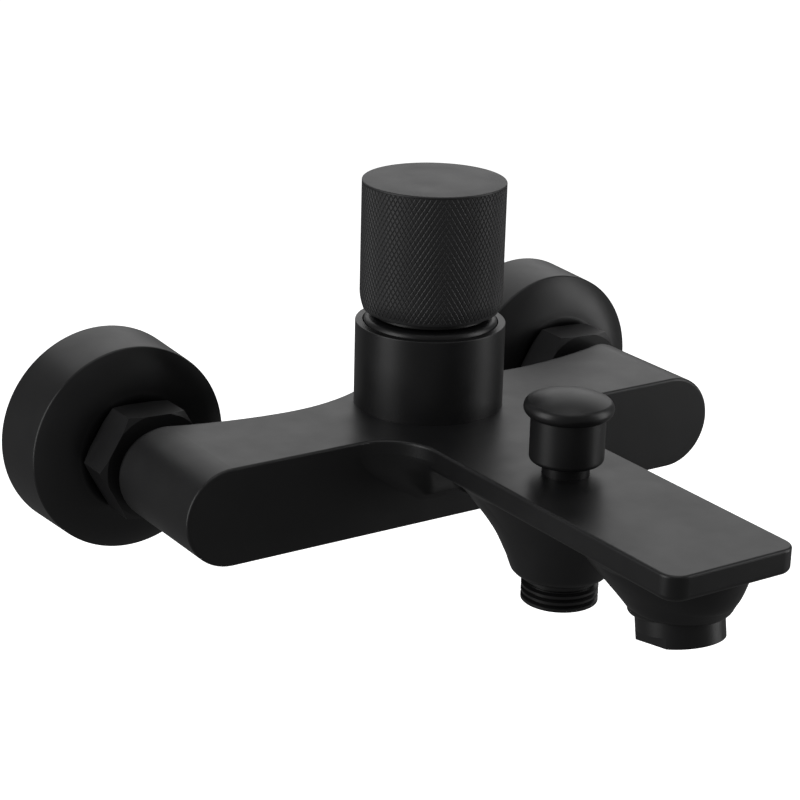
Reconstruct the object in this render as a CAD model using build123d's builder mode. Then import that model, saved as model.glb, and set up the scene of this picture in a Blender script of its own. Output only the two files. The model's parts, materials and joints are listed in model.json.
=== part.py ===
from build123d import *
import math
import os

os.makedirs("parts", exist_ok=True)

# Wall mounted bath and shower mixer with a lift-and-turn cartridge, a pull-up diverter and an aerator.
# Millimetres, +Z up. The wall is the plane Y = 0 and the mixer stands out of it towards -Y.
# The origin is on the wall, midway between the two supply connections.

# ---- connections to the wall ----
inlet_spacing = 150.0
union_offset = 7.5
half_inch_r = 10.4775
three_quarter_r = 13.2205
thread_pitch = 1.814
thread_depth = 1.1
wall_thread_length = 17.0
rose_r = 30.9
rose_front_r = 30.1
rose_depth = 19.6
rose_dome = 4.3
nut_flats = 30.0
nut_back_y = -24.5
nut_front_y = -36.5

# ---- body ----
body_half_height = 14.0
arm_front_y = -80.3
arm_rear_y = -38.6
waist_y = -47.3
waist_x = 41.0
housing_y = -60.3
housing_r = 21.4
housing_top_z = 38.4
bulge_r = 23.5
spout_half_width = 20.3
spout_end_y = -194.4
spout_bottom_z = 7.0
root_fillet = 15.0
spout_corner_r = 5.0
edge_round = 0.8

# ---- cartridge ----
seat_z = 4.0
cartridge_r = 17.5
disc_face_z = 12.3
disc_travel = 1.9
port_r = 3.0
mixed_port_r = 3.8
duct_width = 9.0  # mixed waterway from the cartridge to the diverter
duct_height = 3.2
duct_corner_r = 1.4
duct_wall = 1.6
duct_start_z = 0.1  # passes below the chamber floor
duct_end_z = 2.6  # opens into the diverter's valve room
rib_rear_y = -76.0
rib_front_y = -110.0
inlet_port_x = 8.5
inlet_port_y = housing_y + 2.5
mixed_port_y = housing_y - 8.0
tail_r = 10.4
nut_seat_z = 33.1
nut_thread_r = 19.3
hub_r = 14.6
cover_r = 19.1
cover_top_z = 40.0
stem_top_z = 62.0
lug_arc = 20.0
finger_r = 1.4
free_arc = 122.0

# ---- knob ----
knob_r = 20.3
knob_foot_r = 19.25
knob_bottom_z = 42.0
knob_flare_z = 47.3
knob_top_z = 79.2
knob_lip_z = 40.5
knob_lift = 6.0
core_top_z = 70.0
screw_z = 56.0

# ---- diverter ----
diverter_y = -125.7
neck_r = 6.4
stem_r = 2.5
neck_top_z = 26.0
knob_low_z = 17.5
cap_top_z = 36.8
cap_dome_r = 26.0
upper_seat_z = 4.5
lower_seat_z = -7.0
nipple_top_r = 10.0

# ---- outlets ----
shower_face_z = -14.4
nipple_bottom_z = -22.0
guide_z = -20.6
aerator_y = -174.6
aerator_face_z = -6.3
aerator_tilt = 10.0
aerator_r = 11.4
aerator_length = 6.9
aerator_flat_x = 9.7
aerator_thread_r = 9.9
aerator_boss_r = 13.2
running = 0.05

# the aerator's axis leans forward, so its drawing planes lean with it
lean = math.radians(aerator_tilt)
aerator_plane = Plane(
    origin=(0, aerator_y, aerator_face_z),
    x_dir=(1, 0, 0),
    z_dir=(0, -math.cos(lean), math.sin(lean)),
)
aerator_plane_square = Plane(
    origin=(0, aerator_y, aerator_face_z),
    x_dir=(1, 0, 0),
    z_dir=(0, math.sin(lean), math.cos(lean)),
)


def upright(y, x=0.0):
    """A drawing plane through a vertical axis: across is the radius, up is Z."""
    return Plane(origin=(x, y, 0), x_dir=(1, 0, 0), z_dir=(0, -1, 0))


def level(x, z=0.0):
    """A drawing plane through an axis square to the wall: across is the radius, up is Y."""
    return Plane(origin=(x, 0, z), x_dir=(1, 0, 0), z_dir=(0, 0, 1))


def turned(plane, points, mode=Mode.ADD):
    """Add a turned solid whose half section is given as radius and distance along the axis."""
    with BuildSketch(plane) as section:
        with BuildLine():
            Polyline(*points, close=True)
        make_face()
    revolve(section.sketch, axis=Axis(plane.origin, plane.y_dir), mode=mode)


def rod_section(radius, start, end):
    """Half section of a plain bar."""
    return (0, start), (radius, start), (radius, end), (0, end)


def ring_section(inner, outer, start, end):
    """Half section of a plain ring."""
    return (inner, start), (outer, start), (outer, end), (inner, end)


def threaded(plane, crest_r, start, length):
    """Cut thread grooves into a shaft, leaving the crests at full radius."""
    turns = int(length / thread_pitch)
    for turn in range(turns):
        root = start + (turn + 0.5) * thread_pitch
        groove = (
            (crest_r + 0.5, root - 0.8),
            (crest_r - thread_depth, root - 0.12),
            (crest_r - thread_depth, root + 0.12),
            (crest_r + 0.5, root + 0.8),
        )
        turned(plane, groove, Mode.SUBTRACT)


def rubber_ring(plane, radius, along, thickness):
    """An O-ring of the given centre-line radius, lying square to the plane's axis."""
    centre = plane.origin + plane.x_dir * radius + plane.y_dir * along
    with BuildSketch(Plane(origin=centre, x_dir=plane.x_dir, z_dir=plane.z_dir)) as section:
        Circle(thickness / 2)
    revolve(section.sketch, axis=Axis(plane.origin, plane.y_dir))


def coil(plane, radius, wire, start, end, turns):
    """A compression spring between two heights of the plane's axis."""
    base = Plane(origin=plane.origin + plane.y_dir * start, x_dir=plane.x_dir, z_dir=plane.y_dir)
    with BuildLine(base) as path:
        Helix(pitch=(end - start) / turns, height=end - start, radius=radius)
    with BuildSketch(Plane(origin=path.line @ 0, z_dir=path.line % 0)) as section:
        Circle(wire / 2)
    sweep(section.sketch, path=path.line)


def save(part, name):
    part.label = name
    export_step(part, f"parts/{name}.step")


# ---- the two supply connections ----
def supply_connection(side, x):
    axis = level(x)
    wall_axis = level(x, -union_offset)
    union_front = -29.5
    washer_front = union_front - 2.0
    flange_front = washer_front - 2.5

    # eccentric union: half inch thread in the wall, three quarter inch thread for the nut
    with BuildPart() as union:
        turned(axis, rod_section(three_quarter_r, union_front, -3))
        turned(wall_axis, rod_section(half_inch_r, -3, wall_thread_length))
        threaded(axis, three_quarter_r, union_front, 12.7)
        threaded(wall_axis, half_inch_r, 0.6, wall_thread_length - 1.2)
        turned(axis, rod_section(8.5, union_front - 1, -6), Mode.SUBTRACT)
        turned(wall_axis, rod_section(6.5, -9, wall_thread_length + 1), Mode.SUBTRACT)
    save(union.part, f"eccentric_union_{side}")

    # escutcheon: a pressed rose with a domed face and a collar round the union
    inner = 1.3
    with BuildPart() as rose:
        with BuildSketch(axis):
            with BuildLine():
                wall_edge = Line((rose_r, 0), (rose_front_r, -rose_depth))
                face_middle = (24.2, -rose_depth - 3.2)
                face = ThreePointArc(wall_edge @ 1, face_middle, (18.0, -rose_depth - rose_dome))
                roll = ThreePointArc(face @ 1, (15.2, -rose_depth - 3.9), (13.3, -rose_depth - 2.2))
                collar = Line(roll @ 1, (13.3, -13.0))
                lip = Line(collar @ 1, (13.3 + inner, -13.0))
                inside = Line(lip @ 1, (13.3 + inner, -rose_depth - 1.9))
                under_middle = (21.5, -rose_depth - 2.6)
                under = ThreePointArc(inside @ 1, under_middle, (rose_front_r - 1.5, -rose_depth + 0.9))
                wall = Line(under @ 1, (rose_r - inner, 0))
                Line(wall @ 1, wall_edge @ 0)
            make_face()
        revolve(axis=Axis(axis.origin, axis.y_dir))
        fillet(rose.edges().filter_by(GeomType.CIRCLE).sort_by(SortBy.RADIUS)[-2:].sort_by(Axis.Y)[0], 0.8)
    save(rose.part, f"escutcheon_{side}")

    # union nut: its shoulder draws the inlet tail's flange against the washer
    height = nut_back_y - nut_front_y
    vertex_angle = 178.0
    with BuildPart() as nut:
        with BuildSketch(Plane(origin=(x, nut_back_y, 0), x_dir=(1, 0, 0), z_dir=(0, -1, 0))):
            RegularPolygon(nut_flats / 2, 6, major_radius=False, rotation=vertex_angle)
        extrude(amount=height)
        corner = nut_flats / math.sqrt(3)
        for end, inward in ((nut_back_y, -1), (nut_front_y, 1)):
            bevel = (
                (corner - 1.9, end),
                (corner + 1.0, end),
                (corner + 1.0, end + inward * 1.6),
            )
            turned(axis, bevel, Mode.SUBTRACT)
        thread_r = three_quarter_r + running
        turned(axis, rod_section(thread_r, nut_back_y + 1, flange_front - 0.1), Mode.SUBTRACT)
        turned(axis, rod_section(10.6, nut_front_y - 1, flange_front + 1), Mode.SUBTRACT)
    save(nut.part, f"union_nut_{side}")

    with BuildPart() as washer:
        turned(axis, ring_section(9.2, 12.6, union_front - 0.02, washer_front + 0.02))
    save(washer.part, f"union_washer_{side}")

    # inlet tail: flange inside the nut, shank screwed into the arm
    with BuildPart() as tail:
        section = (
            (9.0, washer_front),
            (12.8, washer_front),
            (12.8, flange_front),
            (10.4, flange_front),
            (10.4, arm_rear_y - 9.5),
            (7.5, arm_rear_y - 9.5),
            (7.5, washer_front - 1.6),
            (9.0, washer_front - 1.6),
        )
        turned(axis, section)
    save(tail.part, f"inlet_tail_{side}")

    # perforated strainer in the mouth of the tail
    with BuildPart() as strainer:
        with BuildSketch(Plane(origin=(x, washer_front - 0.4, 0), x_dir=(1, 0, 0), z_dir=(0, -1, 0))):
            Circle(8.9)
            Circle(0.7, mode=Mode.SUBTRACT)
            for ring_r, holes in ((2.4, 6), (4.6, 12), (6.8, 18)):
                with PolarLocations(ring_r, holes):
                    Circle(0.7, mode=Mode.SUBTRACT)
        extrude(amount=1.0)
    save(strainer.part, f"inlet_strainer_{side}")

    with BuildPart() as seal:
        rubber_ring(axis, 11.3, arm_rear_y - 1.3, 1.7)
    save(seal.part, f"inlet_oring_{side}")


# ---- cast body ----
def body_outline():
    """Half of the outline seen from above, from the rear of the bulge round to the arm's front."""
    blend_x = 14.2
    blend_y = housing_y + math.sqrt(bulge_r**2 - blend_x**2)
    with BuildLine() as outline:
        back = ThreePointArc((0, housing_y + bulge_r), (7.4, housing_y + 22.3), (blend_x, blend_y))
        hollow = ThreePointArc(back @ 1, (25.5, -45.7), (waist_x, waist_y))
        outer = ThreePointArc(hollow @ 1, (59, -45.2), (inlet_spacing / 2, arm_rear_y - 2.4))
        end = Line(outer @ 1, (inlet_spacing / 2 + body_half_height, arm_rear_y))
        side = Line(end @ 1, (inlet_spacing / 2 + body_half_height, arm_front_y))
        Line(side @ 1, (0, arm_front_y))
    return outline


def blade_outline(rooted):
    """Half of the spout's outline seen from above, with or without the concave corner at the arm."""
    root_x = spout_half_width + 0.7
    root_y = arm_front_y - root_fillet
    with BuildLine() as outline:
        if rooted:
            across = Line((0, arm_front_y + 2), (root_x + root_fillet, arm_front_y + 2))
            step = Line(across @ 1, (root_x + root_fillet, arm_front_y))
            start = TangentArc(step @ 1, (root_x, root_y), tangent=(-1, 0))
        else:
            taper = 0.7 / (spout_corner_r + root_y - spout_end_y - 2 * spout_corner_r)
            across = Line((0, arm_front_y + 2), (root_x + (root_fillet + 2) * taper, arm_front_y + 2))
            start = Line(across @ 1, (root_x, root_y))
        side = Line(start @ 1, (spout_half_width, spout_end_y + spout_corner_r))
        corner = TangentArc(side @ 1, (spout_half_width - spout_corner_r, spout_end_y), tangent=(0, -1))
        Line(corner @ 1, (0, spout_end_y))
    return outline


def flared_boss(y, sections, foot=None):
    """Loft a boss that widens upwards: each section is height, half width, reach forward and back."""
    levels = [foot] if foot else []
    for height, half_width, forward, back in sections:
        middle = y + (back - forward) / 2
        with BuildSketch(Plane(origin=(0, middle, height), z_dir=(0, 0, 1))) as section:
            Ellipse(half_width, (forward + back) / 2)
        levels.append(section.sketch)
    loft(levels)


def rod(start, end, radius, mode=Mode.ADD):
    """A round bar between two points."""
    way = Vector(*end) - Vector(*start)
    with BuildSketch(Plane(origin=start, z_dir=way)) as section:
        Circle(radius)
    extrude(section.sketch, amount=way.length, mode=mode)


def bore(start, end, radius):
    """Cut a straight waterway between two points."""
    rod(start, end, radius, Mode.SUBTRACT)


def make_body():
    shower_sections = (
        (shower_face_z, 13.2, 13.2, 13.2),
        (-9.5, 14.2, 14.4, 16.2),
        (-4.0, 15.5, 15.9, 21.0),
        (2.0, 17.5, 18.5, 29.0),
        (spout_bottom_z + 1.0, 19.6, 24.0, 42.0),
    )
    aerator_sections = (
        (-1.0, 15.2, 15.6, 22.0),
        (3.0, 17.6, 17.2, 28.0),
        (spout_bottom_z + 1.0, 19.6, 18.4, 38.0),
    )
    with BuildSketch(aerator_plane_square.offset(1.9)) as aerator_foot:
        Circle(aerator_boss_r)

    # lower half of the spout's blade, its under edge softened
    split_z = spout_bottom_z + 3.0
    with BuildPart() as blade:
        with BuildSketch(Plane.XY.offset(spout_bottom_z)):
            with BuildLine():
                add(blade_outline(False).line)
                mirror(about=Plane.YZ)
            make_face()
        extrude(amount=split_z - spout_bottom_z)
        lower = blade.edges().group_by(Axis.Z)[0]
        fillet(lower.sort_by(Axis.Y)[:-1], 1.6)

    with BuildPart() as body:
        # arm: a bar with round ends, its back hollowed between the connections and the housing
        with BuildSketch(Plane.XY.offset(-body_half_height)):
            with BuildLine():
                add(body_outline().line)
                mirror(about=Plane.YZ)
            make_face()
        extrude(amount=2 * body_half_height)
        with BuildSketch(Plane.XZ.offset(30)):
            SlotCenterToCenter(inlet_spacing, 2 * body_half_height)
        extrude(amount=60, mode=Mode.INTERSECT)
        rear = body.edges().filter_by(GeomType.LINE, reverse=True).filter_by_position(Axis.Y, -80, -35)
        fillet(rear.filter_by(lambda edge: abs(edge.center().Z) > 12 or abs(edge.center().X) > 80), 2.2)

        # spout: the blade leaves the arm with wide concave corners
        with BuildSketch(Plane.XY.offset(split_z)):
            with BuildLine():
                add(blade_outline(True).line)
                mirror(about=Plane.YZ)
            make_face()
        extrude(amount=body_half_height - split_z)
        add(blade.part)
        flared_boss(diverter_y, shower_sections)
        flared_boss(aerator_y, aerator_sections, aerator_foot.sketch)
        with BuildSketch(aerator_plane_square):
            Circle(aerator_boss_r)
        extrude(amount=1.9)

        # round the top outline, the front of the arm and the boss mouths
        fillet(body.edges().filter_by_position(Axis.Z, 13.99, 14.01), edge_round)
        foot = body.edges().filter_by_position(Axis.Z, shower_face_z - 0.01, shower_face_z + 0.01)
        fillet(foot, 2.6)
        rims = body.edges().filter_by(GeomType.CIRCLE)
        mouth = rims.filter_by(lambda edge: abs(edge.radius - aerator_boss_r) < 0.01)
        fillet(mouth.sort_by(Axis.Z)[0], 1.5)

        # rib under the blade that carries the mixed waterway across the corner to the shower boss
        duct_start = Vector(0, mixed_port_y + 2, duct_start_z)
        duct_way = Vector(0, diverter_y + 7, duct_end_z) - duct_start
        slope = duct_way.Z / duct_way.Y
        floor_z = duct_start_z - duct_height / 2 - duct_wall
        with BuildSketch(Plane.YZ):
            with BuildLine():
                Polyline(
                    (rib_rear_y, floor_z + slope * (rib_rear_y - duct_start.Y)),
                    (rib_front_y, floor_z + slope * (rib_front_y - duct_start.Y)),
                    (rib_front_y, spout_bottom_z + 2),
                    (rib_rear_y, spout_bottom_z + 2),
                    close=True,
                )
            make_face()
        extrude(amount=duct_width / 2 + duct_wall, both=True)

        # cartridge housing, standing on the arm with a crisp foot
        with BuildSketch(Plane(origin=(0, housing_y, body_half_height - 1))):
            Circle(housing_r)
        extrude(amount=housing_top_z - body_half_height + 1)
        fillet(body.edges().filter_by_position(Axis.Z, housing_top_z - 0.01, housing_top_z + 0.01), 0.3)

        # cartridge chamber with a wider threaded mouth
        chamber = (
            (0, seat_z),
            (cartridge_r + running, seat_z),
            (cartridge_r + running, nut_seat_z),
            (nut_thread_r + running, nut_seat_z),
            (nut_thread_r + running, housing_top_z + 1),
            (0, housing_top_z + 1),
        )
        turned(upright(housing_y), chamber, Mode.SUBTRACT)

        # hot and cold waterways, then the mixed waterway to the diverter
        for hand in (-1, 1):
            inlet_x = hand * inlet_spacing / 2
            bore((inlet_x, -30, 0), (inlet_x, arm_rear_y - 10, 0), tail_r + running)
            bore((inlet_x, -30, 0), (inlet_x, arm_rear_y - 2.2, 0), 12.3)
            bore((inlet_x, arm_rear_y - 9, 0), (inlet_x, housing_y, 0), 7.5)
            bore((inlet_x, housing_y, -4.5), (hand * 7.2, housing_y, -4.5), 5.4)
            port_x = hand * inlet_port_x
            bore((port_x, inlet_port_y, seat_z + 1), (port_x, inlet_port_y, -4.5), port_r)
            bore((hand * 11, housing_y - 9, seat_z + 1), (hand * 11, housing_y - 9, seat_z - 2.6), 1.6)
        bore((0, mixed_port_y, seat_z + 1), (0, mixed_port_y, -1.5), mixed_port_r)
        with BuildSketch(Plane(origin=duct_start, x_dir=(1, 0, 0), z_dir=duct_way)):
            RectangleRounded(duct_width, duct_height, duct_corner_r)
        extrude(amount=duct_way.length, mode=Mode.SUBTRACT)

        # diverter chamber: nipple thread, valve room, cage thread, spout gallery and cage mouth
        for low, high, radius in (
            (shower_face_z - 1, lower_seat_z, nipple_top_r + running),
            (lower_seat_z - 0.01, upper_seat_z, 9.6),
            (upper_seat_z - 0.01, 8.0, neck_r + running),
            (8.0, 11.3, 9.6),
            (11.2, body_half_height + 1, neck_r + running),
        ):
            bore((0, diverter_y, low), (0, diverter_y, high), radius)

        # flat gallery along the blade to the aerator
        with BuildSketch(Plane.XY.offset(8.3)):
            with Locations((0, (diverter_y + aerator_y) / 2)):
                SlotCenterToCenter(diverter_y - aerator_y, 17.0, rotation=90)
        extrude(amount=3.0, mode=Mode.SUBTRACT)
        bore((0, aerator_y + 1, -1), (0, aerator_y + 1, 9), 8.4)
        with BuildSketch(aerator_plane_square.offset(-1)):
            Circle(aerator_thread_r + running)
        extrude(amount=7.5, mode=Mode.SUBTRACT)
    save(body.part, "body")


# ---- lift-and-turn cartridge ----
def make_cartridge():
    axis = upright(housing_y)
    base_z = seat_z + 0.05
    ports = (
        (-inlet_port_x, inlet_port_y, port_r),
        (inlet_port_x, inlet_port_y, port_r),
        (0, mixed_port_y, mixed_port_r),
    )

    with BuildPart() as base:
        turned(axis, rod_section(cartridge_r - 0.1, base_z, 8.5))
        for x, y, radius in ports:
            bore((x, y, 0), (x, y, 10), radius)
            bore((x, y, 0), (x, y, base_z + 1.85), radius + 1.75)
        for hand in (-1, 1):
            with BuildSketch(Plane.XY.offset(seat_z - 2.4)):
                with Locations((hand * 11, housing_y - 9)):
                    Circle(1.5)
            extrude(amount=3.0)
    save(base.part, "cartridge_base")

    for (x, y, radius), water in zip(ports, ("hot", "cold", "mixed")):
        with BuildPart() as ring:
            rubber_ring(upright(y, x), radius + 0.85, base_z + 0.9, 1.6)
        save(ring.part, f"port_seal_{water}")

    with BuildPart() as gasket:
        turned(axis, rod_section(15.4, 8.52, 9.28))
        for x, y, radius in ports:
            bore((x, y, 8), (x, y, 10), radius + 0.2)
    save(gasket.part, "disc_gasket")

    with BuildPart() as fixed_disc:
        turned(axis, rod_section(15.4, 9.3, disc_face_z - 0.02))
        for x, y, radius in ports:
            bore((x, y, 8), (x, y, 13), radius)
    save(fixed_disc.part, "fixed_disc")

    # the moving disc's pocket joins the supply ports to the mixed port once it has slid back
    with BuildPart() as moving_disc:
        turned(axis, rod_section(11.8, disc_face_z + 0.02, 15.8))
        with BuildSketch(Plane(origin=(0, housing_y - 4.35, disc_face_z - 1))):
            RectangleRounded(15.0, 7.3, 2.0)
        extrude(amount=3.0, mode=Mode.SUBTRACT)
        for hand in (-1, 1):
            bore((hand * 9.4, housing_y + 2, 14.4), (hand * 9.4, housing_y + 2, 16), 1.25)
    save(moving_disc.part, "moving_disc")

    # carrier: its tall block holds the slanted hole that the lift stem's finger draws it by
    with BuildPart() as carrier:
        turned(axis, rod_section(12.0, 15.82, 20.3))
        for hand in (-1, 1):
            with BuildSketch(Plane(origin=(hand * 9.0, housing_y, 18.4))):
                Rectangle(2.1, 30)
            extrude(amount=3, mode=Mode.SUBTRACT)
            with BuildSketch(Plane(origin=(hand * 9.4, housing_y + 2, 14.5))):
                Circle(1.2)
            extrude(amount=1.6)
        with BuildSketch(Plane(origin=(0, housing_y - 0.15, 20.0))):
            Rectangle(7.8, 8.9)
        extrude(amount=7.5)
        bore(finger_point(15.0), finger_point(28.5), finger_r + running)
    save(carrier.part, "disc_carrier")

    # shell: the free arc inside its wall stops the rotor's lug at the hot and cold ends
    with BuildPart() as shell:
        section = (
            (16.0, 8.52),
            (cartridge_r - 0.1, 8.52),
            (cartridge_r - 0.1, 33.0),
            (11.5, 33.0),
            (11.5, 29.0),
            (14.5, 29.0),
            (14.5, 20.6),
            (16.0, 20.6),
        )
        turned(axis, section)
        with BuildSketch(Plane(origin=(0, housing_y, 20.6))):
            sector(16.0, free_arc)
        extrude(amount=8.4, mode=Mode.SUBTRACT)
    save(shell.part, "cartridge_shell")

    with BuildPart() as rotor:
        turned(axis, ((0, 20.6), (14.2, 20.6), (14.2, 28.7), (11.2, 28.7), (11.2, 34.6), (0, 34.6)))
        with BuildSketch(Plane(origin=(0, housing_y, 20.8))):
            sector(15.8, lug_arc)
        extrude(amount=7.9)
        with BuildSketch(Plane(origin=(0, housing_y, 18.0))):
            Rectangle(8.3, 12.8)
        extrude(amount=10.5, mode=Mode.SUBTRACT)
        with BuildSketch(Plane(origin=(0, housing_y, 28.0))):
            Rectangle(8.1, 8.1)
        extrude(amount=10, mode=Mode.SUBTRACT)
        for hand in (-1, 1):
            with BuildSketch(Plane(origin=(hand * 9.0, housing_y, 18.6))):
                Rectangle(1.9, 14)
            extrude(amount=3)
    save(rotor.part, "rotor")

    # lift stem: square shank through the rotor and into the knob, slanted finger in the carrier
    shank_z = 29.2
    with BuildPart() as stem:
        rod(finger_point(16.6), finger_point(shank_z + 1.5), finger_r)
        with BuildSketch(Plane(origin=(0, housing_y, shank_z))):
            RectangleRounded(8.0, 8.0, 0.8)
        extrude(amount=stem_top_z - shank_z)
    save(stem.part, "lift_stem")

    with BuildPart() as nut:
        section = (
            (12.5, nut_seat_z + 0.05),
            (nut_thread_r, nut_seat_z + 0.05),
            (nut_thread_r, 36.0),
            (hub_r, 36.0),
            (hub_r, cover_top_z - 0.6),
            (12.5, cover_top_z - 0.6),
        )
        turned(axis, section)
    save(nut.part, "cartridge_nut")

    # cover ring: screws on the nut's hub and shows as a rounded bead inside the housing's mouth
    bead = 2.1
    with BuildPart() as cover:
        with BuildSketch(axis):
            with BuildLine():
                wall = Line((cover_r, 36.1), (cover_r, cover_top_z - bead))
                crown = TangentArc(wall @ 1, (cover_r - bead, cover_top_z), tangent=(0, 1))
                top = Line(crown @ 1, (hub_r + running, cover_top_z))
                thread = Line(top @ 1, (hub_r + running, 36.1))
                Line(thread @ 1, wall @ 0)
            make_face()
        revolve(axis=Axis(axis.origin, axis.y_dir))
    save(cover.part, "cover_ring")


def finger_point(height):
    """A point of the finger's centre line, which leans so that lifting it draws the carrier to the wall."""
    slope = disc_travel / knob_lift
    return (0, housing_y - slope * (height - 22.0), height)


def sector(radius, arc):
    """A pie slice centred on the direction of the wall."""
    start = Vector(radius, 0).rotate(Axis.Z, 90 - arc / 2)
    middle = Vector(0, radius)
    end = Vector(radius, 0).rotate(Axis.Z, 90 + arc / 2)
    with BuildSketch(Plane.XY) as slice_sketch:
        with BuildLine():
            first = Line((0, 0), (start.X, start.Y))
            rim = ThreePointArc(first @ 1, (middle.X, middle.Y), (end.X, end.Y))
            Line(rim @ 1, (0, 0))
        make_face()
    add(slice_sketch.sketch)


# ---- control knob ----
def make_knob():
    axis = upright(housing_y)
    core_r = 16.45
    with BuildPart() as knob:
        with BuildSketch(axis):
            with BuildLine():
                foot = Line((core_r + 0.05, knob_bottom_z), (knob_foot_r - 0.6, knob_bottom_z))
                roll = TangentArc(foot @ 1, (knob_foot_r, knob_bottom_z + 0.6), tangent=(1, 0))
                flare = ThreePointArc(roll @ 1, (knob_r - 0.26, knob_bottom_z + 2.7), (knob_r, knob_flare_z))
                side = Line(flare @ 1, (knob_r, knob_top_z))
                top = Line(side @ 1, (0, knob_top_z))
                middle = Line(top @ 1, (0, core_top_z + 0.05))
                roof = Line(middle @ 1, (core_r + 0.05, core_top_z + 0.05))
                Line(roof @ 1, foot @ 0)
            make_face()
        revolve(axis=Axis(axis.origin, axis.y_dir))
        rim = knob.edges().filter_by_position(Axis.Z, knob_top_z - 0.01, knob_top_z + 0.01)
        fillet(rim, 0.4)
        bore((0, housing_y + 10, screw_z), (0, housing_y + 25, screw_z), 2.55)
    save(knob.part, "knob")

    # core: carries the knob on the lift stem; its lower lip sits just above the cover ring
    with BuildPart() as core:
        section = (
            (core_r, core_top_z),
            (core_r, knob_lip_z),
            (15.3, knob_lip_z),
            (15.3, 50.5),
            (0, 50.5),
            (0, core_top_z),
        )
        turned(axis, section)
        with BuildSketch(Plane(origin=(0, housing_y, 49))):
            Rectangle(8.1, 8.1)
        extrude(amount=stem_top_z + 0.4 - 49, mode=Mode.SUBTRACT)
        bore((0, housing_y, screw_z), (0, housing_y + 25, screw_z), 2.52)
    save(core.part, "knob_core")

    with BuildPart() as screw:
        with BuildSketch(Plane(origin=(0, housing_y + 4.05, screw_z), z_dir=(0, 1, 0))):
            Circle(2.48)
        extrude(amount=9)
        with BuildSketch(Plane(origin=(0, housing_y + 13.1, screw_z), z_dir=(0, -1, 0))):
            RegularPolygon(1.25, 6, major_radius=False)
        extrude(amount=2.6, mode=Mode.SUBTRACT)
    save(screw.part, "knob_screw")

    with BuildPart() as plug:
        with BuildSketch(Plane(origin=(0, housing_y + core_r + 0.4, screw_z), z_dir=(0, 1, 0))):
            Circle(2.5)
        extrude(amount=knob_r - core_r - 0.7)
    save(plug.part, "knob_plug")


# ---- diverter ----
def cap_sag(across):
    """How far the cap's dome has fallen at a distance from its axis."""
    return cap_dome_r - math.sqrt(cap_dome_r**2 - across**2)


def make_diverter():
    axis = upright(diverter_y)
    spring_top = 11.5
    with BuildPart() as cage:
        section = (
            (4.6, upper_seat_z + 0.05),
            (neck_r, upper_seat_z + 0.05),
            (neck_r, neck_top_z),
            (stem_r + running, neck_top_z),
            (stem_r + running, 14.6),
            (3.95, 14.6),
            (3.95, 13.0),
            (stem_r + running, 13.0),
            (stem_r + running, spring_top),
            (4.6, spring_top),
        )
        turned(axis, section)
        with BuildSketch(Plane(origin=(0, diverter_y, 8.3))):
            Rectangle(20, 4)
            Rectangle(4, 20)
        extrude(amount=2.8, mode=Mode.SUBTRACT)
    save(cage.part, "diverter_cage")

    with BuildPart() as stem_seal:
        rubber_ring(axis, 3.24, 13.8, 1.36)
    save(stem_seal.part, "stem_oring")

    plate_low = lower_seat_z + 0.8
    with BuildPart() as stem:
        section = (
            (0, lower_seat_z - 1.7),
            (stem_r - 0.5, lower_seat_z - 1.7),
            (stem_r - 0.5, plate_low + 2.0),
            (3.2, plate_low + 2.0),
            (3.2, plate_low + 2.9),
            (stem_r, plate_low + 2.9),
            (stem_r, 33.0),
            (0, 33.0),
        )
        turned(axis, section)
    save(stem.part, "diverter_stem")

    with BuildPart() as plate:
        turned(axis, ring_section(2.05, 7.6, plate_low, plate_low + 1.95))
    save(plate.part, "diverter_plate")
    for name, low, inner in (("lower", lower_seat_z + 0.05, 4.3), ("upper", plate_low + 2.0, 3.6)):
        with BuildPart() as washer:
            turned(axis, ring_section(inner, 7.4, low, low + 0.68))
        save(washer.part, f"diverter_seal_{name}")

    with BuildPart() as stem_nut:
        with BuildSketch(Plane(origin=(0, diverter_y, lower_seat_z - 1.5))):
            RegularPolygon(3.5, 6, major_radius=False)
            Circle(stem_r - 0.45, mode=Mode.SUBTRACT)
        extrude(amount=2.2)
    save(stem_nut.part, "diverter_nut")

    with BuildPart() as spring:
        coil(axis, 4.0, 0.7, plate_low + 3.3, spring_top - 0.45, 6)
    save(spring.part, "diverter_spring")

    with BuildPart() as knob:
        with BuildSketch(axis):
            with BuildLine():
                skirt = Line((10.0, knob_low_z + 1.4), (10.0, 30.2))
                ledge = ThreePointArc(skirt @ 1, (12.0, 32.4), (10.9, cap_top_z - cap_sag(10.9)))
                dome = ThreePointArc(ledge @ 1, (6.0, cap_top_z - cap_sag(6.0)), (0, cap_top_z))
                middle = Line(dome @ 1, (0, 33.1))
                seat = Line(middle @ 1, (stem_r + 0.02, 33.1))
                hole = Line(seat @ 1, (stem_r + 0.02, neck_top_z + 0.6))
                roof = Line(hole @ 1, (neck_r + 0.25, neck_top_z + 0.6))
                inside = Line(roof @ 1, (neck_r + 0.25, knob_low_z))
                foot = Line(inside @ 1, (8.6, knob_low_z))
                ThreePointArc(foot @ 1, (9.6, knob_low_z + 0.4), skirt @ 0)
            make_face()
        revolve(axis=Axis(axis.origin, axis.y_dir))
    save(knob.part, "diverter_knob")


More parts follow.
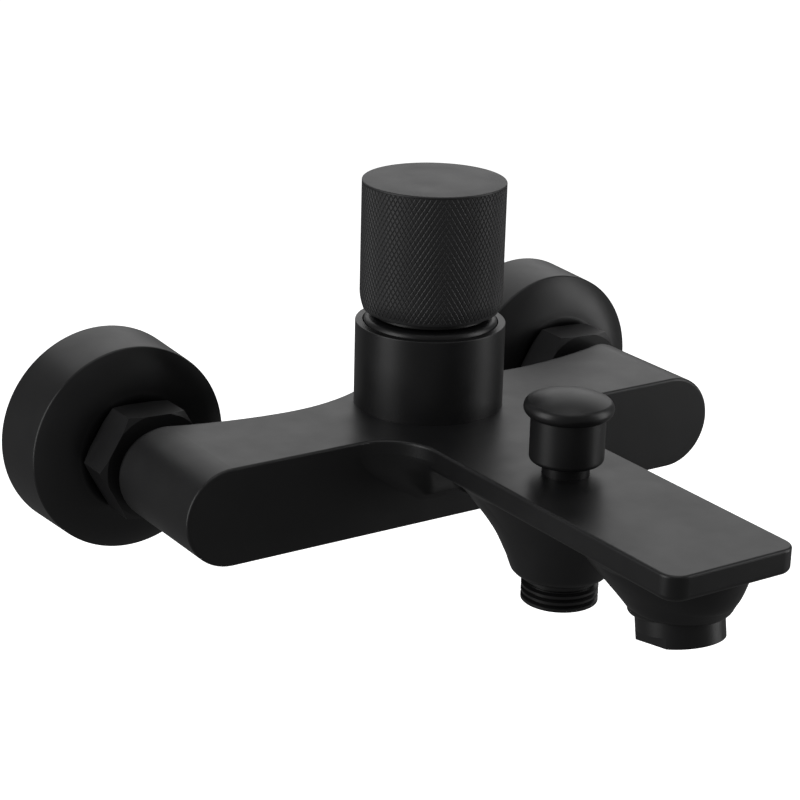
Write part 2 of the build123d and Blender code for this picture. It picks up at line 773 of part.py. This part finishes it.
# ---- shower outlet ----
def make_shower_outlet():
    axis = upright(diverter_y)
    with BuildPart() as nipple:
        section = (
            (5.5, lower_seat_z),
            (nipple_top_r, lower_seat_z),
            (nipple_top_r, shower_face_z - 0.1),
            (half_inch_r, shower_face_z - 0.1),
            (half_inch_r, nipple_bottom_z),
            (7.5, nipple_bottom_z),
            (7.5, lower_seat_z - 2.0),
            (5.5, lower_seat_z - 2.0),
        )
        turned(axis, section)
        threaded(axis, half_inch_r, nipple_bottom_z + 0.6, 5.6)
        groove = (
            (9.3, shower_face_z - 1.2),
            (12.0, shower_face_z - 1.2),
            (12.0, shower_face_z - 2.2),
            (9.3, shower_face_z - 2.2),
        )
        turned(axis, groove, Mode.SUBTRACT)
    save(nipple.part, "shower_nipple")

    # check valve cartridge: seat and guide in one tube, poppet closing upwards
    valve_top = lower_seat_z - 2.1
    with BuildPart() as tube:
        section = (
            (4.2, valve_top),
            (7.45, valve_top),
            (7.45, nipple_bottom_z + 0.4),
            (6.2, nipple_bottom_z + 0.4),
            (6.2, valve_top - 1.4),
            (4.2, valve_top - 1.4),
        )
        turned(axis, section)
        with BuildSketch(Plane(origin=(0, diverter_y, guide_z))):
            Circle(6.4)
            Circle(1.3, mode=Mode.SUBTRACT)
            with PolarLocations(4.0, 6):
                Circle(1.35, mode=Mode.SUBTRACT)
        extrude(amount=1.2)
    save(tube.part, "check_valve_body")

    with BuildPart() as poppet:
        section = (
            (0, valve_top - 1.45),
            (5.3, valve_top - 1.45),
            (5.3, valve_top - 2.6),
            (1.25, valve_top - 3.2),
            (1.25, guide_z + 0.7),
            (0, guide_z + 0.7),
        )
        turned(axis, section)
    save(poppet.part, "check_poppet")

    with BuildPart() as spring:
        coil(axis, 2.3, 0.5, guide_z + 1.55, valve_top - 3.5, 5)
    save(spring.part, "check_spring")


# ---- aerator ----
def make_aerator():
    axis = aerator_plane
    square = aerator_plane_square
    with BuildPart() as housing:
        section = (
            (7.6, -aerator_length),
            (aerator_r, -aerator_length),
            (aerator_r, -0.1),
            (aerator_thread_r, -0.1),
            (aerator_thread_r, 4.6),
            (8.2, 4.6),
            (8.2, -aerator_length + 0.8),
            (7.6, -aerator_length + 0.8),
        )
        turned(axis, section)
        with BuildSketch(square.offset(-aerator_length)):
            with Locations((aerator_flat_x + 5, 0), (-aerator_flat_x - 5, 0)):
                Rectangle(10, 30)
        extrude(amount=2.8, mode=Mode.SUBTRACT)
    save(housing.part, "aerator_housing")

    with BuildPart() as insert:
        with BuildSketch(square.offset(-aerator_length + 0.9)):
            Circle(8.1)
            with GridLocations(2.4, 2.4, 5, 5):
                Rectangle(1.8, 1.8, mode=Mode.SUBTRACT)
        extrude(amount=2.2)
        with BuildSketch(square.offset(-aerator_length + 3.1)):
            Circle(8.1)
            Circle(6.9, mode=Mode.SUBTRACT)
        extrude(amount=6.4)
        with BuildSketch(square.offset(-aerator_length + 9.5)):
            Circle(8.1)
            with PolarLocations(5.2, 12):
                Circle(0.75, mode=Mode.SUBTRACT)
            with PolarLocations(2.6, 6):
                Circle(0.75, mode=Mode.SUBTRACT)
        extrude(amount=1.2)
    save(insert.part, "aerator_insert")

    with BuildPart() as screen:
        with BuildSketch(square.offset(-aerator_length + 10.8)):
            Circle(8.0)
            with GridLocations(1.7, 1.7, 7, 7):
                Rectangle(1.2, 1.2, mode=Mode.SUBTRACT)
        extrude(amount=0.5)
    save(screen.part, "aerator_screen")

    with BuildPart() as gasket:
        with BuildSketch(square.offset(4.7)):
            Circle(9.8)
            Circle(8.4, mode=Mode.SUBTRACT)
        extrude(amount=1.7)
    save(gasket.part, "aerator_gasket")


for side, x in (("hot", -inlet_spacing / 2), ("cold", inlet_spacing / 2)):
    supply_connection(side, x)
make_body()
make_cartridge()
make_knob()
make_diverter()
make_shower_outlet()
make_aerator()
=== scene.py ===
import bpy
import json
import math
from mathutils import Matrix, Vector


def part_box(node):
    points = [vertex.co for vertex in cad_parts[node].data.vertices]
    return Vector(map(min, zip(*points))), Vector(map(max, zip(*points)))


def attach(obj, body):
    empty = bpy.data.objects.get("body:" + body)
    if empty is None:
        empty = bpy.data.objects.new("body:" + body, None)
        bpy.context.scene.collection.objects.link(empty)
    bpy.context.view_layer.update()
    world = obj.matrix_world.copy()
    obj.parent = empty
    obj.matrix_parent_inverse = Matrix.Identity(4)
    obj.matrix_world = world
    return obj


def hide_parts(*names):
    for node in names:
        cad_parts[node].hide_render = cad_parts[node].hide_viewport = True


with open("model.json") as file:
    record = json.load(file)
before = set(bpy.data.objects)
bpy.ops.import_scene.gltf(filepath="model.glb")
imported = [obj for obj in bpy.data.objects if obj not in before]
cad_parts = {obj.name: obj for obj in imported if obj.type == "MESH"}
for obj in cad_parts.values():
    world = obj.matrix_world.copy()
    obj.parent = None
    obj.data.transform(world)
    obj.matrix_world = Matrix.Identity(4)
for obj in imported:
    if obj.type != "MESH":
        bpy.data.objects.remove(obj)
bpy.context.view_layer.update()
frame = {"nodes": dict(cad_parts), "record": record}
nodes = frame["nodes"]

mm = 0.001
housingY = -60.3 * mm
diverterY = -125.7 * mm
aeratorY = -174.6 * mm


def deselectAll():
    if bpy.context.object and bpy.context.object.mode != "OBJECT":
        bpy.ops.object.mode_set(mode="OBJECT")
    bpy.ops.object.select_all(action="DESELECT")


def makeActive(*pieces):
    deselectAll()
    for piece in pieces:
        piece.select_set(True)
    bpy.context.view_layer.objects.active = pieces[0]


def joinPieces(pieces):
    makeActive(*pieces)
    bpy.ops.object.join()
    return bpy.context.object


def addModifier(piece, kind, apply=True, **settings):
    modifier = piece.modifiers.new(kind.lower(), kind)
    for key, value in settings.items():
        setattr(modifier, key, value)
    if apply:
        makeActive(piece)
        bpy.ops.object.modifier_apply(modifier=modifier.name)
    return modifier


def settle(piece, name, body, replaced=()):
    # the finished piece keeps its place in its mesh and rides on its body
    piece.name = piece.data.name = name
    makeActive(piece)
    bpy.ops.object.transform_apply(location=True, rotation=True, scale=True)
    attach(piece, body)
    if replaced:
        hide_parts(*replaced)
    return piece


def linearColour(code):
    channels = [int(code[i:i + 2], 16) / 255 for i in (1, 3, 5)]
    linear = [c / 12.92 if c <= 0.04045 else ((c + 0.055) / 1.055) ** 2.4 for c in channels]
    return (*linear, 1.0)


def addNode(tree, kind, settings=None, links=None):
    node = tree.nodes.new(kind)
    for key, value in (settings or {}).items():
        if key in node.inputs:
            node.inputs[key].default_value = value
        else:
            setattr(node, key, value)
    for key, source in (links or {}).items():
        tree.links.new(source, node.inputs[key])
    return node


def startMaterial(name):
    material = bpy.data.materials.new(name)
    material.use_nodes = True
    tree = material.node_tree
    tree.nodes.clear()
    place = addNode(tree, "ShaderNodeTexCoord").outputs["Object"]
    return material, tree, place


def grainyMaterial(name, look):
    # two close colours in soft patches, a fine grain in the bump and a little unevenness in the gloss
    material, tree, place = startMaterial(name)
    patches = addNode(tree, "ShaderNodeTexNoise", {"Scale": 1 / look["patchSize"], "Detail": 3.0},
                      {"Vector": place})
    grain = addNode(tree, "ShaderNodeTexNoise", {"Scale": 1 / look["grainSize"], "Detail": 2.0},
                    {"Vector": place})
    colour = addNode(tree, "ShaderNodeMix", {"data_type": "RGBA"}, {"Factor": patches.outputs["Fac"]})
    colour.inputs["A"].default_value = linearColour(look["colour"])
    colour.inputs["B"].default_value = linearColour(look["colourTwo"])
    gloss = addNode(tree, "ShaderNodeMapRange",
                    {"From Min": 0.3, "From Max": 0.7, "To Min": look["roughness"][0],
                     "To Max": look["roughness"][1]},
                    {"Value": patches.outputs["Fac"]})
    bump = addNode(tree, "ShaderNodeBump",
                   {"Strength": look["grainStrength"], "Distance": look["grainDepth"]},
                   {"Height": grain.outputs["Fac"]})
    shader = addNode(tree, "ShaderNodeBsdfPrincipled",
                     {"Metallic": look.get("metallic", 0.0), "IOR": look.get("ior", 1.5)},
                     {"Base Color": colour.outputs["Result"], "Roughness": gloss.outputs["Result"],
                      "Normal": bump.outputs["Normal"]})
    addNode(tree, "ShaderNodeOutputMaterial", None, {"Surface": shader.outputs["BSDF"]})
    return material


# satin-matt black electro-coat over brass: an even near-black skin with a soft, broad sheen
blackCoat = {
    "colour": "#161617",
    "colourTwo": "#1a1a1b",
    "patchSize": 9 * mm,
    "grainSize": 0.16 * mm,
    "grainStrength": 0.10,
    "grainDepth": 0.02 * mm,
    "roughness": (0.36, 0.42),
}
# the same black coat on the fine-turned knob, its colour painted lighter as painted sheen for the extra
# light its tool marks scatter, with a rougher gloss
paintedLightKnobCoat = dict(blackCoat, colour="#2a2a2b", colourTwo="#2f2f30", roughness=(0.44, 0.50), grainSize=0.2 * mm)
# turned brass: warm metal with tool marks too fine to see apart
turnedBrass = {
    "colour": "#b8935a",
    "colourTwo": "#c8a56a",
    "patchSize": 5 * mm,
    "grainSize": 0.2 * mm,
    "grainStrength": 0.15,
    "grainDepth": 0.02 * mm,
    "roughness": (0.26, 0.34),
    "metallic": 1.0,
}
# drawn stainless steel: cool grey metal with a fine draw
stainlessSteel = dict(turnedBrass, colour="#9a9b9c", colourTwo="#a9aaab", roughness=(0.24, 0.32))
# lapped alumina ceramic: dense ivory white with a low sheen
aluminaCeramic = {
    "colour": "#e4e0d4",
    "colourTwo": "#ece9df",
    "patchSize": 4 * mm,
    "grainSize": 0.1 * mm,
    "grainStrength": 0.05,
    "grainDepth": 0.01 * mm,
    "roughness": (0.22, 0.28),
    "ior": 1.76,
}
# moulded acetal: slightly waxy off-white
mouldedAcetal = dict(aluminaCeramic, colour="#cfccc2", colourTwo="#d8d6cd", roughness=(0.38, 0.46), ior=1.48)
# nitrile rubber: dull black with a fine bloom
nitrileRubber = {
    "colour": "#141414",
    "colourTwo": "#1d1d1d",
    "patchSize": 3 * mm,
    "grainSize": 0.12 * mm,
    "grainStrength": 0.3,
    "grainDepth": 0.03 * mm,
    "roughness": (0.68, 0.8),
}

finishes = {
    "blackCoat": grainyMaterial("satinBlackElectroCoat", blackCoat),
    "paintedLightKnobCoat": grainyMaterial("turnedBlackCoatPaintedLighter", paintedLightKnobCoat),
    "brass": grainyMaterial("turnedBrass", turnedBrass),
    "steel": grainyMaterial("drawnStainlessSteel", stainlessSteel),
    "ceramic": grainyMaterial("lappedAluminaCeramic", aluminaCeramic),
    "acetal": grainyMaterial("mouldedAcetal", mouldedAcetal),
    "rubber": grainyMaterial("mouldedNitrileRubber", nitrileRubber),
}
slotFinish = {
    "coated_brass": "blackCoat",
    "coated_steel": "blackCoat",
    "brass": "brass",
    "steel": "steel",
    "ceramic": "ceramic",
    "valve_plastic": "acetal",
    "rubber": "rubber",
}
nodeFinish = {"knob_plug": "paintedLightKnobCoat", "aerator_insert": "acetal"}


def paint(piece, finish):
    piece.data.materials.clear()
    piece.data.materials.append(finishes[finish])


for entry in frame["record"]["subparts"]:
    paint(nodes[entry["node"]], nodeFinish.get(entry["node"], slotFinish[entry["material_slot"]]))
print("materials on", len(nodes), "nodes")


knurl = {
    "starts": 88,
    "pitchUp": 2.38 * mm,
    "grooveWidth": 0.45 * mm,
    "grooveDepth": 0.12 * mm,
    "plainTop": 0.65 * mm,
    "crownRadius": 0.38 * mm,
    # the side leans in below flareStarts; both heights are above the knob's bottom
    "flareRadius": 13.3 * mm,
    "flareStarts": 5.3 * mm,
    "knurlStarts": 1.0 * mm,
}


def makeKnurledKnob(look):
    low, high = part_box("knob")
    radius = (high.x - low.x) / 2
    bottom, top = low.z, high.z
    pitchRound = 2 * math.pi * radius / look["starts"]
    length = 2 * math.pi * radius
    flare = look["flareRadius"]
    flareAngle = math.asin((look["flareStarts"] - look["knurlStarts"]) / flare)
    arc = flare * flareAngle
    knurlTop = top - look["plainTop"]
    straight = knurlTop - (bottom + look["flareStarts"])
    height = straight + arc

    # flat strip of diamonds: a square lattice stood on its corners and stretched to the two pitches
    cells = look["starts"] + math.ceil(height / look["pitchUp"]) + 2
    deselectAll()
    bpy.ops.mesh.primitive_grid_add(x_subdivisions=cells, y_subdivisions=cells, size=cells / math.sqrt(2))
    strip = bpy.context.object
    bpy.ops.object.mode_set(mode="EDIT")
    bpy.ops.mesh.select_all(action="SELECT")
    bpy.ops.transform.rotate(value=math.pi / 4, orient_axis="Z", center_override=(0, 0, 0))
    bpy.ops.transform.resize(value=(pitchRound, look["pitchUp"], 1), center_override=(0, 0, 0))
    # keep only what the strip needs before the grooves go in
    for normal, edge in (((1, 0, 0), -length / 2 - pitchRound), ((-1, 0, 0), length / 2 + pitchRound),
                         ((0, 1, 0), -height / 2 - look["pitchUp"]),
                         ((0, -1, 0), height / 2 + look["pitchUp"])):
        bpy.ops.mesh.select_all(action="SELECT")
        at = (edge, 0, 0) if normal[0] else (0, edge, 0)
        bpy.ops.mesh.bisect(plane_co=at, plane_no=normal, clear_inner=True)
    bpy.ops.mesh.select_all(action="SELECT")
    bpy.ops.mesh.inset(thickness=look["grooveWidth"] / 2, depth=look["grooveDepth"],
                       use_individual=True, use_even_offset=True)
    for normal, at in (((1, 0, 0), (-length / 2, 0, 0)), ((-1, 0, 0), (length / 2, 0, 0)),
                       ((0, 1, 0), (0, -height / 2, 0)), ((0, -1, 0), (0, height / 2, 0))):
        bpy.ops.mesh.select_all(action="SELECT")
        bpy.ops.mesh.bisect(plane_co=at, plane_no=normal, clear_inner=True)
    # cross lines on the rounded foot, so that the wide diamonds bend with it
    for step in range(1, 5):
        bpy.ops.mesh.select_all(action="SELECT")
        bpy.ops.mesh.bisect(plane_co=(0, -height / 2 + arc * step / 4, 0), plane_no=(0, 1, 0))
    bpy.ops.object.mode_set(mode="OBJECT")

    # wrap the strip round the knob, its foot rolling in under the edge; the crests stay at full radius
    lowest = min(v.co.z for v in strip.data.vertices)
    for vertex in strip.data.vertices:
        along = vertex.co.y + height / 2
        sink = vertex.co.z - lowest - look["grooveDepth"]
        angle = vertex.co.x / radius
        if along < arc:
            turn = (1 - along / arc) * flareAngle
            out = radius - flare + (flare + sink) * math.cos(turn)
            z = bottom + look["flareStarts"] - (flare + sink) * math.sin(turn)
        else:
            out = radius + sink
            z = bottom + look["flareStarts"] + along - arc
        vertex.co = (out * math.sin(angle), housingY - out * math.cos(angle), z)

    # plain top and hollow underside, turned from one section
    section = [(radius - look["grooveDepth"] - 0.02 * mm, knurlTop - 0.3 * mm),
               (radius - 0.12 * mm, knurlTop - 0.02 * mm),
               (radius, knurlTop + 0.14 * mm), (radius, top - look["crownRadius"])]
    for step in range(1, 7):
        turn = step / 6 * math.pi / 2
        section.append((radius - look["crownRadius"] * (1 - math.cos(turn)),
                        top - look["crownRadius"] * (1 - math.sin(turn))))
    section += [(radius * 0.7, top), (radius * 0.35, top)]
    crown = spinSection("crown", section, 176, closeEnds=True)
    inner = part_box("knob_core")[1].x + 0.05 * mm
    knurlFoot = radius - flare + flare * math.cos(flareAngle)
    mouth = [(inner, bottom + 1.2 * mm), (inner, bottom + 0.25 * mm), (inner + 0.2 * mm, bottom),
             (knurlFoot - 0.75 * mm, bottom)]
    for step in range(1, 6):
        turn = step / 5 * math.pi / 2
        mouth.append((knurlFoot - 0.75 * mm + 0.6 * mm * math.sin(turn),
                      bottom + 0.6 * mm * (1 - math.cos(turn))))
    mouth += [(knurlFoot - 0.04 * mm, bottom + look["knurlStarts"] - 0.02 * mm),
              (knurlFoot - look["grooveDepth"] - 0.04 * mm, bottom + look["knurlStarts"] + 0.15 * mm)]
    foot = spinSection("foot", mouth, 176)
    knob = joinPieces([strip, crown, foot])
    bpy.ops.object.mode_set(mode="EDIT")
    bpy.ops.mesh.select_all(action="SELECT")
    bpy.ops.mesh.remove_doubles(threshold=0.004 * mm)
    bpy.ops.object.mode_set(mode="OBJECT")
    bpy.ops.object.shade_smooth_by_angle(angle=math.radians(24))
    settle(knob, "knurledKnob", "lift", ["knob"])
    # the knob's coat is the black coat painted lighter: painted sheen, not a different finish
    paint(knob, "paintedLightKnobCoat")
    return knob


def spinSection(name, section, steps, closeEnds=False, centre=(0, housingY), closed=False):
    # one half section of points (radius, height) turned about the vertical axis through centre
    deselectAll()
    mesh = bpy.data.meshes.new(name)
    mesh.from_pydata([(centre[0] + r, centre[1], z) for r, z in section],
                     [(i, i + 1) for i in range(len(section) - 1)]
                     + ([(len(section) - 1, 0)] if closed else []), [])
    piece = bpy.data.objects.new(name, mesh)
    bpy.context.scene.collection.objects.link(piece)
    makeActive(piece)
    bpy.ops.object.mode_set(mode="EDIT")
    bpy.ops.mesh.select_all(action="SELECT")
    bpy.ops.mesh.spin(steps=steps, angle=2 * math.pi, center=(*centre, 0), axis=(0, 0, 1))
    bpy.ops.mesh.select_all(action="SELECT")
    bpy.ops.mesh.remove_doubles(threshold=0.001 * mm)
    if closeEnds:
        bpy.ops.mesh.select_all(action="DESELECT")
        bpy.ops.object.mode_set(mode="OBJECT")
        end = section[-1]
        for vertex in piece.data.vertices:
            away = math.hypot(vertex.co.x - centre[0], vertex.co.y - centre[1])
            vertex.select = abs(away - end[0]) < 0.01 * mm and abs(vertex.co.z - end[1]) < 0.01 * mm
        bpy.ops.object.mode_set(mode="EDIT")
        bpy.ops.mesh.edge_face_add()
        bpy.ops.mesh.poke()
    bpy.ops.mesh.select_all(action="SELECT")
    bpy.ops.mesh.normals_make_consistent(inside=False)
    bpy.ops.object.mode_set(mode="OBJECT")
    return piece


makeKnurledKnob(knurl)
print("knob")


underside = {
    "voxel": 0.62 * mm,
    "smoothing": 26,
    "sink": 0.07 * mm,
    "showerLevels": ((-12.4, 13.1, 13.1, 13.6), (-9.5, 14.2, 14.4, 16.4), (-7.0, 14.8, 15.1, 18.6),
                     (-4.0, 15.55, 15.95, 21.6), (-1.0, 16.5, 17.2, 26.5), (2.0, 17.55, 18.6, 33.0),
                     (5.0, 18.6, 21.2, 40.0), (8.0, 19.7, 24.1, 60.0)),
    "aeratorLevels": ((-5.2, 13.3, 13.3, 13.3), (-4.0, 13.8, 13.6, 15.0), (-1.0, 15.3, 15.6, 22.0),
                      (2.0, 17.1, 16.8, 26.5), (5.0, 18.6, 17.8, 32.0), (8.0, 19.7, 18.5, 39.0)),
    # half width, lowest point and front end of the rib that carries the waterway under the spout
    "rib": (7.4, -3.4, -112.0),
    # place along the spout, radius, low and high end of the hollows that the skin leaves open
    "bores": ((diverterY, 11.5, -18.0, 12.5), (aeratorY, 11.6, -20.0, 12.0), (housingY, 18.5, 3.5, 20.0)),
}


def ringStack(levels, y):
    # one ellipse at each height, bridged into a closed solid
    rings = []
    for height, halfWidth, forward, back in levels:
        deselectAll()
        bpy.ops.mesh.primitive_circle_add(vertices=96, radius=1, fill_type="NOTHING",
                                          location=(0, y + (back - forward) / 2 * mm, height * mm))
        ring = bpy.context.object
        ring.scale = (halfWidth * mm, (forward + back) / 2 * mm, 1)
        bpy.ops.object.transform_apply(location=True, rotation=True, scale=True)
        rings.append(ring)
    stack = joinPieces(rings)
    bpy.ops.object.mode_set(mode="EDIT")
    bpy.ops.mesh.select_all(action="SELECT")
    bpy.ops.mesh.bridge_edge_loops()
    bpy.ops.mesh.select_all(action="DESELECT")
    bpy.ops.mesh.select_non_manifold()
    bpy.ops.mesh.edge_face_add()
    bpy.ops.mesh.select_all(action="SELECT")
    bpy.ops.mesh.normals_make_consistent(inside=False)
    bpy.ops.object.mode_set(mode="OBJECT")
    return stack


def slab(low, high, taper=1.0):
    # a block between two corners, its -Y end narrowed by taper
    deselectAll()
    low, high = Vector(low) * mm, Vector(high) * mm
    bpy.ops.mesh.primitive_cube_add(size=1, location=(low + high) / 2)
    piece = bpy.context.object
    piece.scale = high - low
    bpy.ops.object.transform_apply(location=True, rotation=True, scale=True)
    for vertex in piece.data.vertices:
        if vertex.co.y < (low.y + high.y) / 2:
            vertex.co.x *= taper
    return piece


def cornerWeb(side):
    # the concave web between the spout's side and the front of the arm, fading downwards
    webLevels = ((13.2, 15.0), (9.0, 14.6), (6.0, 13.2), (3.0, 11.0), (0.0, 8.4), (-2.5, 5.5), (-5.0, 2.5))
    loops = []
    for height, reach in webLevels:
        across = 20.9 - max(0.0, 7.0 - height) * 0.62
        points = [(across - 8, -70.0), (across + reach, -70.0), (across + reach, -80.3)]
        for step in range(1, 12):
            turn = step / 12 * math.pi / 2
            points.append((across + reach - reach * math.sin(turn), -80.3 - reach + reach * math.cos(turn)))
        points += [(across, -80.3 - reach), (across - 8, -80.3 - reach)]
        mesh = bpy.data.meshes.new("web")
        mesh.from_pydata([(side * x * mm, y * mm, height * mm) for x, y in points],
                         [(i, (i + 1) % len(points)) for i in range(len(points))], [])
        loop = bpy.data.objects.new("web", mesh)
        bpy.context.scene.collection.objects.link(loop)
        loops.append(loop)
    web = joinPieces(loops)
    bpy.ops.object.mode_set(mode="EDIT")
    bpy.ops.mesh.select_all(action="SELECT")
    bpy.ops.mesh.bridge_edge_loops()
    bpy.ops.mesh.select_all(action="DESELECT")
    bpy.ops.mesh.select_non_manifold()
    bpy.ops.mesh.edge_face_add()
    bpy.ops.mesh.select_all(action="SELECT")
    bpy.ops.mesh.normals_make_consistent(inside=False)
    bpy.ops.object.mode_set(mode="OBJECT")
    return web


def makeUnderside(look):
    sink = look["sink"] / mm
    ribHalf, ribLow, ribFront = look["rib"]
    pieces = [
        ringStack(look["showerLevels"], diverterY),
        ringStack(look["aeratorLevels"], aeratorY),
        slab((-20.9 + sink, -185, 7.0 + sink), (20.9 - sink, -70, 13.3),
             taper=(20.34 - sink) / (20.9 - sink)),
        slab((-ribHalf, ribFront, ribLow), (ribHalf, -70, 13.0)),
        slab((-60, -80.3 + sink, -13.2), (60, -66, 13.2)),
        cornerWeb(-1),
        cornerWeb(1),
    ]
    skin = joinPieces(pieces)
    addModifier(skin, "REMESH", mode="VOXEL", voxel_size=look["voxel"])
    addModifier(skin, "SMOOTH", factor=0.5, iterations=look["smoothing"])
    for boreY, radius, low, high in look["bores"]:
        deselectAll()
        bpy.ops.mesh.primitive_cylinder_add(vertices=96, radius=radius * mm, depth=(high - low) * mm,
                                            location=(0, boreY, (low + high) / 2 * mm))
        cutter = bpy.context.object
        addModifier(skin, "BOOLEAN", object=cutter, operation="DIFFERENCE", solver="EXACT")
        bpy.data.objects.remove(cutter)
    makeActive(skin)
    bpy.ops.object.shade_smooth_by_angle(angle=math.radians(40))
    settle(skin, "castUnderside", "base")
    paint(skin, "blackCoat")
    return skin


makeUnderside(underside)
print("underside")


studio = {
    "azimuth": -33.79,
    "elevation": 19.48,
    "roll": 1.55,
    "distance": 0.66627,
    "target": (0.00383, -0.04021, 0.0072),
    "lens": 101.07,
    # azimuth, elevation, distance, width, height, brightness
    "softboxes": {
        "left": (-100, 12, 1.0, 0.55, 1.0, 2.5),
        "right": (57, 12, 1.0, 0.45, 1.0, 2.3),
        "rear": (150, 28, 1.5, 2.2, 1.1, 0.9),
        "above": (0, 88, 1.2, 1.0, 1.0, 0.8),
    },
    "ambient": 0.13,
}


def direction(azimuth, elevation):
    a, e = math.radians(azimuth), math.radians(elevation)
    return Vector((math.sin(a) * math.cos(e), -math.cos(a) * math.cos(e), math.sin(e)))


def makeStudio(look):
    back = direction(look["azimuth"], look["elevation"])
    right = (-back).cross(Vector((0, 0, 1))).normalized()
    up = right.cross(-back)
    roll = math.radians(look["roll"])
    across = right * math.cos(roll) + up * math.sin(roll)
    upright = up * math.cos(roll) - right * math.sin(roll)
    camera = bpy.data.objects.new("camera", bpy.data.cameras.new("camera"))
    bpy.context.scene.collection.objects.link(camera)
    turn = Matrix((across, upright, back)).transposed().to_4x4()
    camera.matrix_world = Matrix.Translation(Vector(look["target"]) + back * look["distance"]) @ turn
    camera.data.lens = look["lens"]
    camera.data.sensor_width = 36
    camera.data.clip_end = 60
    bpy.context.scene.camera = camera

    target = Vector((0, -0.09, 0.02))
    for name, (azimuth, elevation, distance, width, height, brightness) in look["softboxes"].items():
        lamp = bpy.data.lights.new(name, "AREA")
        lamp.shape = "RECTANGLE"
        lamp.size, lamp.size_y = width, height
        lamp.energy = brightness * math.pi * width * height
        box = bpy.data.objects.new(name, lamp)
        bpy.context.scene.collection.objects.link(box)
        away = direction(azimuth, elevation)
        box.location = target + away * distance
        box.rotation_mode = "QUATERNION"
        box.rotation_quaternion = away.to_track_quat("Z", "Y")

    world = bpy.data.worlds.new("studioAir")
    bpy.context.scene.world = world
    world.use_nodes = True
    world.node_tree.nodes["Background"].inputs["Color"].default_value = (1, 1, 1, 1)
    world.node_tree.nodes["Background"].inputs["Strength"].default_value = look["ambient"]

    # pale floor well below the mixer; it shows white and throws no light back
    deselectAll()
    bpy.ops.mesh.primitive_plane_add(size=40, location=(0, 0, -0.40))
    floor = bpy.context.object
    floor.name = "floor"
    floor.visible_diffuse = floor.visible_glossy = False
    material, tree, place = startMaterial("paleFloor")
    shader = addNode(tree, "ShaderNodeBsdfPrincipled", {"Base Color": (0.9, 0.9, 0.9, 1), "Roughness": 0.9,
                                                        "Emission Color": (1, 1, 1, 1),
                                                        "Emission Strength": 0.97})
    addNode(tree, "ShaderNodeOutputMaterial", None, {"Surface": shader.outputs["BSDF"]})
    floor.data.materials.append(material)
    bpy.context.scene.view_settings.view_transform = "Standard"


makeStudio(studio)
print("studio")
